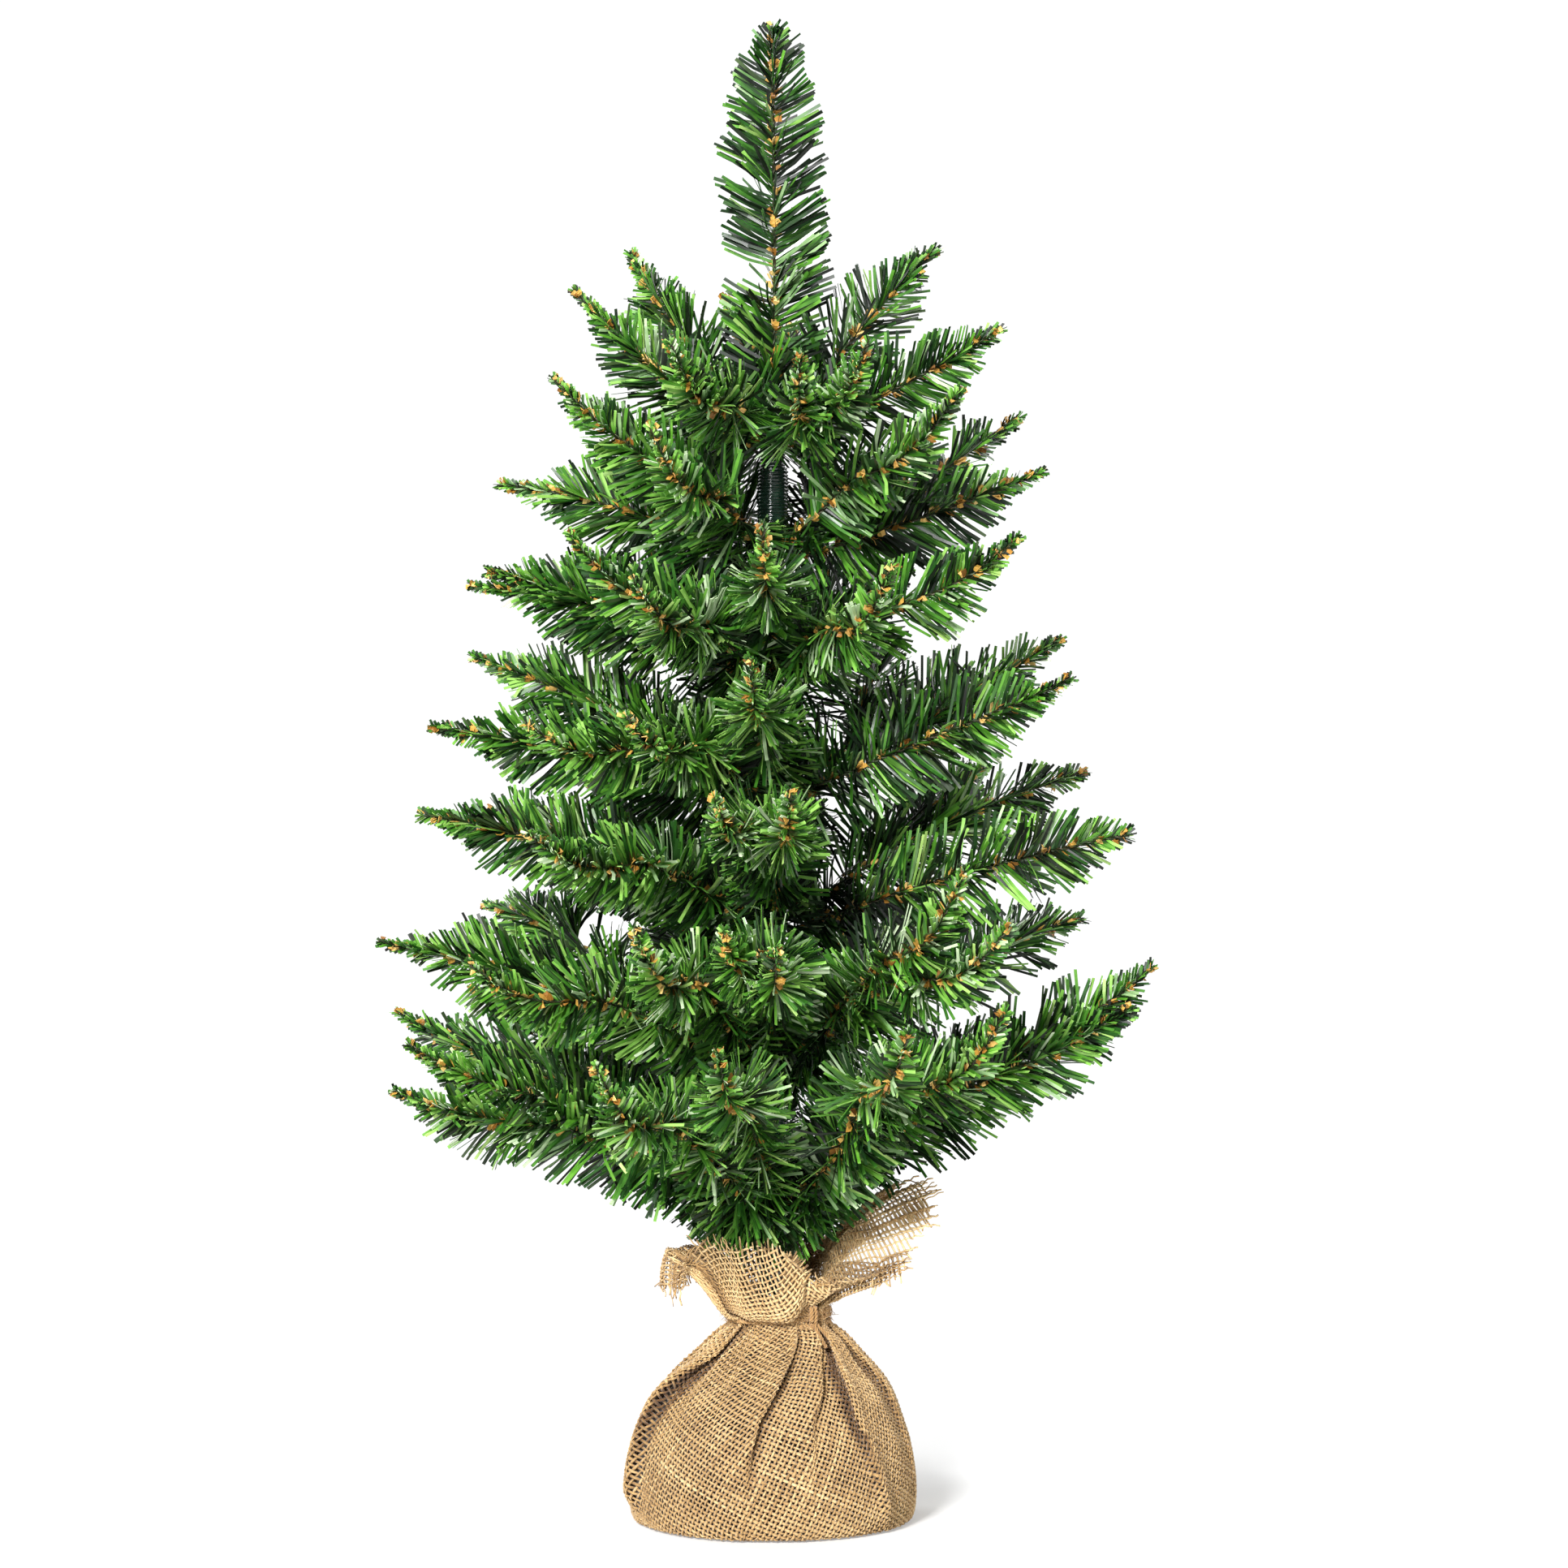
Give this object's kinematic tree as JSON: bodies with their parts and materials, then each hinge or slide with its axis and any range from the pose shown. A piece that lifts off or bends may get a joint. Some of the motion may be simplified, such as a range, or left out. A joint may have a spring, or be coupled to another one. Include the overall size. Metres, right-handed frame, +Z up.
{
  "type": "artificial tabletop tree",
  "caption": "Slim artificial tabletop fir: wire branches with flat-cut film needles on a wrapped trunk, cement weight in a gathered burlap base tied with cord.",
  "frame": {"origin": "centre of the flat underside of the base, on the trunk axis", "axes": "+Z up along the trunk, front of the tree towards -Y, +X to the right seen from the front"},
  "size_m": [0.3084, 0.3121, 0.5993],
  "materials": {
    "burlap": "matte",
    "cord": "matte",
    "black_plastic": "satin",
    "cement": "matte",
    "steel": "satin",
    "trunk_winding": "satin",
    "pvc_needles": "satin"
  },
  "bodies": {
    "base_and_trunk": {"burlap_wrap": "burlap", "jute_cord": "cord", "base_pot": "black_plastic", "cement_weight": "cement", "trunk_pole": "steel", "trunk_wrap": "trunk_winding"},
    "body_tier1_branch1": {"tier1_branch1": "pvc_needles"},
    "body_tier1_branch2": {"tier1_branch2": "pvc_needles"},
    "body_tier1_branch3": {"tier1_branch3": "pvc_needles"},
    "body_tier1_branch4": {"tier1_branch4": "pvc_needles"},
    "body_tier1_branch5": {"tier1_branch5": "pvc_needles"},
    "body_tier1_branch6": {"tier1_branch6": "pvc_needles"},
    "body_tier1_branch7": {"tier1_branch7": "pvc_needles"},
    "body_tier2_branch1": {"tier2_branch1": "pvc_needles"},
    "body_tier2_branch2": {"tier2_branch2": "pvc_needles"},
    "body_tier2_branch3": {"tier2_branch3": "pvc_needles"},
    "body_tier2_branch4": {"tier2_branch4": "pvc_needles"},
    "body_tier2_branch5": {"tier2_branch5": "pvc_needles"},
    "body_tier2_branch6": {"tier2_branch6": "pvc_needles"},
    "body_tier2_branch7": {"tier2_branch7": "pvc_needles"},
    "body_tier3_branch1": {"tier3_branch1": "pvc_needles"},
    "body_tier3_branch2": {"tier3_branch2": "pvc_needles"},
    "body_tier3_branch3": {"tier3_branch3": "pvc_needles"},
    "body_tier3_branch4": {"tier3_branch4": "pvc_needles"},
    "body_tier3_branch5": {"tier3_branch5": "pvc_needles"},
    "body_tier3_branch6": {"tier3_branch6": "pvc_needles"},
    "body_tier3_branch7": {"tier3_branch7": "pvc_needles"},
    "body_tier4_branch1": {"tier4_branch1": "pvc_needles"},
    "body_tier4_branch2": {"tier4_branch2": "pvc_needles"},
    "body_tier4_branch3": {"tier4_branch3": "pvc_needles"},
    "body_tier4_branch4": {"tier4_branch4": "pvc_needles"},
    "body_tier4_branch5": {"tier4_branch5": "pvc_needles"},
    "body_tier4_branch6": {"tier4_branch6": "pvc_needles"},
    "body_tier4_branch7": {"tier4_branch7": "pvc_needles"},
    "body_tier5_branch1": {"tier5_branch1": "pvc_needles"},
    "body_tier5_branch2": {"tier5_branch2": "pvc_needles"},
    "body_tier5_branch3": {"tier5_branch3": "pvc_needles"},
    "body_tier5_branch4": {"tier5_branch4": "pvc_needles"},
    "body_tier5_branch5": {"tier5_branch5": "pvc_needles"},
    "body_tier5_branch6": {"tier5_branch6": "pvc_needles"},
    "body_tier5_branch7": {"tier5_branch7": "pvc_needles"},
    "body_tier6_branch1": {"tier6_branch1": "pvc_needles"},
    "body_tier6_branch2": {"tier6_branch2": "pvc_needles"},
    "body_tier6_branch3": {"tier6_branch3": "pvc_needles"},
    "body_tier6_branch4": {"tier6_branch4": "pvc_needles"},
    "body_tier6_branch5": {"tier6_branch5": "pvc_needles"},
    "body_tier6_branch6": {"tier6_branch6": "pvc_needles"},
    "body_tier6_branch7": {"tier6_branch7": "pvc_needles"},
    "body_tier6_branch8": {"tier6_branch8": "pvc_needles"},
    "body_tier7_branch1": {"tier7_branch1": "pvc_needles"},
    "body_tier7_branch2": {"tier7_branch2": "pvc_needles"},
    "body_tier7_branch3": {"tier7_branch3": "pvc_needles"},
    "body_tier7_branch4": {"tier7_branch4": "pvc_needles"},
    "body_tier7_branch5": {"tier7_branch5": "pvc_needles"},
    "body_tier7_branch6": {"tier7_branch6": "pvc_needles"},
    "body_tier7_branch7": {"tier7_branch7": "pvc_needles"},
    "body_tier7_branch8": {"tier7_branch8": "pvc_needles"},
    "body_leader": {"leader": "pvc_needles"}
  },
  "joints": [
    {"name": "fold_tier1_branch1", "type": "hinge", "parent": "base_and_trunk", "child": "body_tier1_branch1", "pos_m": [0.00583, -0.00143, 0.4287], "axis": [-0.2385, -0.9711, 0], "range_deg": [-9.14, 45.62]},
    {"name": "fold_tier1_branch2", "type": "hinge", "parent": "base_and_trunk", "child": "body_tier1_branch2", "pos_m": [0.00554, 0.0023, 0.4325], "axis": [0.3827, -0.9239, 0], "range_deg": [-4.02, 20.02]},
    {"name": "fold_tier1_branch3", "type": "hinge", "parent": "base_and_trunk", "child": "body_tier1_branch3", "pos_m": [0.00157, -0.00579, 0.4255], "axis": [-0.965, -0.2622, 0], "range_deg": [-10.16, 50.72]},
    {"name": "fold_tier1_branch4", "type": "hinge", "parent": "base_and_trunk", "child": "body_tier1_branch4", "pos_m": [-0.0022, -0.00558, 0.43], "axis": [-0.9304, 0.3665, 0], "range_deg": [-11.14, 55.62]},
    {"name": "fold_tier1_branch5", "type": "hinge", "parent": "base_and_trunk", "child": "body_tier1_branch5", "pos_m": [-0.006, 0, 0.4267], "axis": [0, 1, 0], "range_deg": [-6.3, 31.42]},
    {"name": "fold_tier1_branch6", "type": "hinge", "parent": "base_and_trunk", "child": "body_tier1_branch6", "pos_m": [-0.00496, 0.00338, 0.4317], "axis": [0.5635, 0.8261, 0], "range_deg": [-4.42, 22.02]},
    {"name": "fold_tier1_branch7", "type": "hinge", "parent": "base_and_trunk", "child": "body_tier1_branch7", "pos_m": [-0.00023, 0.006, 0.4287], "axis": [0.9993, 0.0384, 0], "range_deg": [-7, 34.92]},
    {"name": "fold_tier2_branch1", "type": "hinge", "parent": "base_and_trunk", "child": "body_tier2_branch1", "pos_m": [0.00598, 0.00046, 0.3831], "axis": [0.0767, -0.9971, 0], "range_deg": [-7.8, 38.92]},
    {"name": "fold_tier2_branch2", "type": "hinge", "parent": "base_and_trunk", "child": "body_tier2_branch2", "pos_m": [0.00371, 0.00471, 0.3882], "axis": [0.7859, -0.6184, 0], "range_deg": [-8.6, 42.92]},
    {"name": "fold_tier2_branch3", "type": "hinge", "parent": "base_and_trunk", "child": "body_tier2_branch3", "pos_m": [0.0042, -0.00429, 0.3875], "axis": [-0.7145, -0.6997, 0], "range_deg": [-8.48, 42.32]},
    {"name": "fold_tier2_branch4", "type": "hinge", "parent": "base_and_trunk", "child": "body_tier2_branch4", "pos_m": [-0.00266, -0.00538, 0.3849], "axis": [-0.8965, 0.4431, 0], "range_deg": [-10.3, 51.42]},
    {"name": "fold_tier2_branch5", "type": "hinge", "parent": "base_and_trunk", "child": "body_tier2_branch5", "pos_m": [-0.00537, -0.00267, 0.3862], "axis": [-0.4446, 0.8957, 0], "range_deg": [-4.46, 22.22]},
    {"name": "fold_tier2_branch6", "type": "hinge", "parent": "base_and_trunk", "child": "body_tier2_branch6", "pos_m": [-0.00596, 0.00072, 0.3819], "axis": [0.1201, 0.9928, 0], "range_deg": [-10.64, 53.12]},
    {"name": "fold_tier2_branch7", "type": "hinge", "parent": "base_and_trunk", "child": "body_tier2_branch7", "pos_m": [-0.00337, 0.00496, 0.3855], "axis": [0.8271, 0.5621, 0], "range_deg": [-8.08, 40.32]},
    {"name": "fold_tier3_branch1", "type": "hinge", "parent": "base_and_trunk", "child": "body_tier3_branch1", "pos_m": [0.00512, -0.00314, 0.3362], "axis": [-0.5225, -0.8526, 0], "range_deg": [-8.08, 40.32]},
    {"name": "fold_tier3_branch2", "type": "hinge", "parent": "base_and_trunk", "child": "body_tier3_branch2", "pos_m": [0.00233, -0.00553, 0.3402], "axis": [-0.9212, -0.3891, 0], "range_deg": [-8.32, 41.52]},
    {"name": "fold_tier3_branch3", "type": "hinge", "parent": "base_and_trunk", "child": "body_tier3_branch3", "pos_m": [-0.00034, -0.00599, 0.337], "axis": [-0.9984, 0.0558, 0], "range_deg": [-7.86, 39.22]},
    {"name": "fold_tier3_branch4", "type": "hinge", "parent": "base_and_trunk", "child": "body_tier3_branch4", "pos_m": [-0.00375, -0.00468, 0.3379], "axis": [-0.7804, 0.6252, 0], "range_deg": [-8.52, 42.52]},
    {"name": "fold_tier3_branch5", "type": "hinge", "parent": "base_and_trunk", "child": "body_tier3_branch5", "pos_m": [-0.006, -0.00012, 0.3328], "axis": [-0.0192, 0.9998, 0], "range_deg": [-9.22, 46.02]},
    {"name": "fold_tier3_branch6", "type": "hinge", "parent": "base_and_trunk", "child": "body_tier3_branch6", "pos_m": [-0.00399, 0.00448, 0.3376], "axis": [0.7466, 0.6652, 0], "range_deg": [-8.58, 42.82]},
    {"name": "fold_tier3_branch7", "type": "hinge", "parent": "base_and_trunk", "child": "body_tier3_branch7", "pos_m": [0.00255, 0.00543, 0.3402], "axis": [0.9048, -0.4258, 0], "range_deg": [-8.22, 41.02]},
    {"name": "fold_tier4_branch1", "type": "hinge", "parent": "base_and_trunk", "child": "body_tier4_branch1", "pos_m": [0.00583, -0.0014, 0.2888], "axis": [-0.2334, -0.9724, 0], "range_deg": [-10.46, 52.22]},
    {"name": "fold_tier4_branch2", "type": "hinge", "parent": "base_and_trunk", "child": "body_tier4_branch2", "pos_m": [-0.00112, -0.00589, 0.2917], "axis": [-0.9823, 0.1874, 0], "range_deg": [-9.32, 46.52]},
    {"name": "fold_tier4_branch3", "type": "hinge", "parent": "base_and_trunk", "child": "body_tier4_branch3", "pos_m": [-0.00308, -0.00515, 0.2841], "axis": [-0.8581, 0.5135, 0], "range_deg": [-8.3, 41.42]},
    {"name": "fold_tier4_branch4", "type": "hinge", "parent": "base_and_trunk", "child": "body_tier4_branch4", "pos_m": [-0.006, -0.00018, 0.2833], "axis": [-0.0297, 0.9996, 0], "range_deg": [-8.74, 43.62]},
    {"name": "fold_tier4_branch5", "type": "hinge", "parent": "base_and_trunk", "child": "body_tier4_branch5", "pos_m": [-0.00555, 0.00228, 0.2866], "axis": [0.3795, 0.9252, 0], "range_deg": [-9.56, 47.72]},
    {"name": "fold_tier4_branch6", "type": "hinge", "parent": "base_and_trunk", "child": "body_tier4_branch6", "pos_m": [-0.00103, 0.00591, 0.2866], "axis": [0.9851, 0.1719, 0], "range_deg": [-6.78, 33.82]},
    {"name": "fold_tier4_branch7", "type": "hinge", "parent": "base_and_trunk", "child": "body_tier4_branch7", "pos_m": [0.00363, 0.00478, 0.2856], "axis": [0.7965, -0.6046, 0], "range_deg": [-7.48, 37.32]},
    {"name": "fold_tier5_branch1", "type": "hinge", "parent": "base_and_trunk", "child": "body_tier5_branch1", "pos_m": [0.00595, -0.00075, 0.235], "axis": [-0.1253, -0.9921, 0], "range_deg": [-10.24, 51.12]},
    {"name": "fold_tier5_branch2", "type": "hinge", "parent": "base_and_trunk", "child": "body_tier5_branch2", "pos_m": [0.00522, 0.00296, 0.2393], "axis": [0.4939, -0.8695, 0], "range_deg": [-7.5, 37.42]},
    {"name": "fold_tier5_branch3", "type": "hinge", "parent": "base_and_trunk", "child": "body_tier5_branch3", "pos_m": [-0.00018, -0.006, 0.2337], "axis": [-0.9996, 0.0297, 0], "range_deg": [-8.14, 40.62]},
    {"name": "fold_tier5_branch4", "type": "hinge", "parent": "base_and_trunk", "child": "body_tier5_branch4", "pos_m": [-0.00393, -0.00453, 0.2346], "axis": [-0.7559, 0.6547, 0], "range_deg": [-10.06, 50.22]},
    {"name": "fold_tier5_branch5", "type": "hinge", "parent": "base_and_trunk", "child": "body_tier5_branch5", "pos_m": [-0.00597, -0.00055, 0.2396], "axis": [-0.0924, 0.9957, 0], "range_deg": [-8.74, 43.62]},
    {"name": "fold_tier5_branch6", "type": "hinge", "parent": "base_and_trunk", "child": "body_tier5_branch6", "pos_m": [-0.0049, 0.00346, 0.2329], "axis": [0.5764, 0.8171, 0], "range_deg": [-9.26, 46.22]},
    {"name": "fold_tier5_branch7", "type": "hinge", "parent": "base_and_trunk", "child": "body_tier5_branch7", "pos_m": [-0.00028, 0.00599, 0.2361], "axis": [0.9989, 0.0471, 0], "range_deg": [-6.72, 33.52]},
    {"name": "fold_tier6_branch1", "type": "hinge", "parent": "base_and_trunk", "child": "body_tier6_branch1", "pos_m": [0.00531, 0.00279, 0.1814], "axis": [0.4648, -0.8854, 0], "range_deg": [-10, 49.92]},
    {"name": "fold_tier6_branch2", "type": "hinge", "parent": "base_and_trunk", "child": "body_tier6_branch2", "pos_m": [0.0029, -0.00525, 0.1761], "axis": [-0.8755, -0.4833, 0], "range_deg": [-8.26, 41.22]},
    {"name": "fold_tier6_branch3", "type": "hinge", "parent": "base_and_trunk", "child": "body_tier6_branch3", "pos_m": [0.00091, -0.00593, 0.1837], "axis": [-0.9885, -0.1513, 0], "range_deg": [-8.32, 41.52]},
    {"name": "fold_tier6_branch4", "type": "hinge", "parent": "base_and_trunk", "child": "body_tier6_branch4", "pos_m": [-0.00128, -0.00586, 0.1782], "axis": [-0.977, 0.213, 0], "range_deg": [-6.66, 33.22]},
    {"name": "fold_tier6_branch5", "type": "hinge", "parent": "base_and_trunk", "child": "body_tier6_branch5", "pos_m": [-0.00411, -0.00437, 0.1753], "axis": [-0.7278, 0.6858, 0], "range_deg": [-7.7, 38.42]},
    {"name": "fold_tier6_branch6", "type": "hinge", "parent": "base_and_trunk", "child": "body_tier6_branch6", "pos_m": [-0.00599, 0.00034, 0.1753], "axis": [0.0558, 0.9984, 0], "range_deg": [-8.98, 44.82]},
    {"name": "fold_tier6_branch7", "type": "hinge", "parent": "base_and_trunk", "child": "body_tier6_branch7", "pos_m": [-0.00238, 0.00551, 0.1824], "axis": [0.9178, 0.3971, 0], "range_deg": [-8.58, 42.82]},
    {"name": "fold_tier6_branch8", "type": "hinge", "parent": "base_and_trunk", "child": "body_tier6_branch8", "pos_m": [0.00236, 0.00551, 0.1763], "axis": [0.9191, -0.3939, 0], "range_deg": [-6.66, 33.22]},
    {"name": "fold_tier7_branch1", "type": "hinge", "parent": "base_and_trunk", "child": "body_tier7_branch1", "pos_m": [0.00551, -0.00238, 0.1261], "axis": [-0.3971, -0.9178, 0], "range_deg": [-8.72, 43.52]},
    {"name": "fold_tier7_branch2", "type": "hinge", "parent": "base_and_trunk", "child": "body_tier7_branch2", "pos_m": [0.00313, -0.00512, 0.1209], "axis": [-0.8536, -0.521, 0], "range_deg": [-8.12, 40.52]},
    {"name": "fold_tier7_branch3", "type": "hinge", "parent": "base_and_trunk", "child": "body_tier7_branch3", "pos_m": [-0.00072, -0.00596, 0.1226], "axis": [-0.9928, 0.1201, 0], "range_deg": [-7.76, 38.72]},
    {"name": "fold_tier7_branch4", "type": "hinge", "parent": "base_and_trunk", "child": "body_tier7_branch4", "pos_m": [-0.00212, -0.00561, 0.1194], "axis": [-0.9354, 0.3535, 0], "range_deg": [-6.38, 31.82]},
    {"name": "fold_tier7_branch5", "type": "hinge", "parent": "base_and_trunk", "child": "body_tier7_branch5", "pos_m": [-0.00533, -0.00276, 0.1247], "axis": [-0.4602, 0.8878, 0], "range_deg": [-7.54, 37.7]},
    {"name": "fold_tier7_branch6", "type": "hinge", "parent": "base_and_trunk", "child": "body_tier7_branch6", "pos_m": [-0.00473, 0.00369, 0.1217], "axis": [0.6157, 0.788, 0], "range_deg": [-8.04, 40.12]},
    {"name": "fold_tier7_branch7", "type": "hinge", "parent": "base_and_trunk", "child": "body_tier7_branch7", "pos_m": [-0.00138, 0.00584, 0.1202], "axis": [0.9732, 0.23, 0], "range_deg": [-8.84, 44.12]},
    {"name": "fold_tier7_branch8", "type": "hinge", "parent": "base_and_trunk", "child": "body_tier7_branch8", "pos_m": [0.00363, 0.00478, 0.1219], "axis": [0.7965, -0.6046, 0], "range_deg": [-8.46, 42.22]},
    {"name": "bend_leader", "type": "hinge", "parent": "base_and_trunk", "child": "body_leader", "pos_m": [0, 0, 0.4412], "axis": [0, 1, 0], "range_deg": [-12, 12]}
  ],
  "couplings": [
    {"joint": "fold_tier1_branch1", "follows": "fold_tier7_branch5", "ratio": 1.2095},
    {"joint": "fold_tier1_branch2", "follows": "fold_tier7_branch5", "ratio": 0.5305},
    {"joint": "fold_tier1_branch3", "follows": "fold_tier7_branch5", "ratio": 1.3448},
    {"joint": "fold_tier1_branch4", "follows": "fold_tier7_branch5", "ratio": 1.4748},
    {"joint": "fold_tier1_branch5", "follows": "fold_tier7_branch5", "ratio": 0.8329},
    {"joint": "fold_tier1_branch6", "follows": "fold_tier7_branch5", "ratio": 0.5836},
    {"joint": "fold_tier1_branch7", "follows": "fold_tier7_branch5", "ratio": 0.9257},
    {"joint": "fold_tier2_branch1", "follows": "fold_tier7_branch5", "ratio": 1.0318},
    {"joint": "fold_tier2_branch2", "follows": "fold_tier7_branch5", "ratio": 1.1379},
    {"joint": "fold_tier2_branch3", "follows": "fold_tier7_branch5", "ratio": 1.122},
    {"joint": "fold_tier2_branch4", "follows": "fold_tier7_branch5", "ratio": 1.3634},
    {"joint": "fold_tier2_branch5", "follows": "fold_tier7_branch5", "ratio": 0.5889},
    {"joint": "fold_tier2_branch6", "follows": "fold_tier7_branch5", "ratio": 1.4085},
    {"joint": "fold_tier2_branch7", "follows": "fold_tier7_branch5", "ratio": 1.069},
    {"joint": "fold_tier3_branch1", "follows": "fold_tier7_branch5", "ratio": 1.069},
    {"joint": "fold_tier3_branch2", "follows": "fold_tier7_branch5", "ratio": 1.1008},
    {"joint": "fold_tier3_branch3", "follows": "fold_tier7_branch5", "ratio": 1.0398},
    {"joint": "fold_tier3_branch4", "follows": "fold_tier7_branch5", "ratio": 1.1273},
    {"joint": "fold_tier3_branch5", "follows": "fold_tier7_branch5", "ratio": 1.2202},
    {"joint": "fold_tier3_branch6", "follows": "fold_tier7_branch5", "ratio": 1.1353},
    {"joint": "fold_tier3_branch7", "follows": "fold_tier7_branch5", "ratio": 1.0875},
    {"joint": "fold_tier4_branch1", "follows": "fold_tier7_branch5", "ratio": 1.3846},
    {"joint": "fold_tier4_branch2", "follows": "fold_tier7_branch5", "ratio": 1.2334},
    {"joint": "fold_tier4_branch3", "follows": "fold_tier7_branch5", "ratio": 1.0981},
    {"joint": "fold_tier4_branch4", "follows": "fold_tier7_branch5", "ratio": 1.1565},
    {"joint": "fold_tier4_branch5", "follows": "fold_tier7_branch5", "ratio": 1.2653},
    {"joint": "fold_tier4_branch6", "follows": "fold_tier7_branch5", "ratio": 0.8966},
    {"joint": "fold_tier4_branch7", "follows": "fold_tier7_branch5", "ratio": 0.9894},
    {"joint": "fold_tier5_branch1", "follows": "fold_tier7_branch5", "ratio": 1.3554},
    {"joint": "fold_tier5_branch2", "follows": "fold_tier7_branch5", "ratio": 0.992},
    {"joint": "fold_tier5_branch3", "follows": "fold_tier7_branch5", "ratio": 1.0769},
    {"joint": "fold_tier5_branch4", "follows": "fold_tier7_branch5", "ratio": 1.3316},
    {"joint": "fold_tier5_branch5", "follows": "fold_tier7_branch5", "ratio": 1.1565},
    {"joint": "fold_tier5_branch6", "follows": "fold_tier7_branch5", "ratio": 1.2255},
    {"joint": "fold_tier5_branch7", "follows": "fold_tier7_branch5", "ratio": 0.8886},
    {"joint": "fold_tier6_branch1", "follows": "fold_tier7_branch5", "ratio": 1.3236},
    {"joint": "fold_tier6_branch2", "follows": "fold_tier7_branch5", "ratio": 1.0928},
    {"joint": "fold_tier6_branch3", "follows": "fold_tier7_branch5", "ratio": 1.1008},
    {"joint": "fold_tier6_branch4", "follows": "fold_tier7_branch5", "ratio": 0.8806},
    {"joint": "fold_tier6_branch5", "follows": "fold_tier7_branch5", "ratio": 1.0186},
    {"joint": "fold_tier6_branch6", "follows": "fold_tier7_branch5", "ratio": 1.1883},
    {"joint": "fold_tier6_branch7", "follows": "fold_tier7_branch5", "ratio": 1.1353},
    {"joint": "fold_tier6_branch8", "follows": "fold_tier7_branch5", "ratio": 0.8806},
    {"joint": "fold_tier7_branch1", "follows": "fold_tier7_branch5", "ratio": 1.1538},
    {"joint": "fold_tier7_branch2", "follows": "fold_tier7_branch5", "ratio": 1.0743},
    {"joint": "fold_tier7_branch3", "follows": "fold_tier7_branch5", "ratio": 1.0265},
    {"joint": "fold_tier7_branch4", "follows": "fold_tier7_branch5", "ratio": 0.8435},
    {"joint": "fold_tier7_branch6", "follows": "fold_tier7_branch5", "ratio": 1.0637},
    {"joint": "fold_tier7_branch7", "follows": "fold_tier7_branch5", "ratio": 1.1698},
    {"joint": "fold_tier7_branch8", "follows": "fold_tier7_branch5", "ratio": 1.1194}
  ]
}
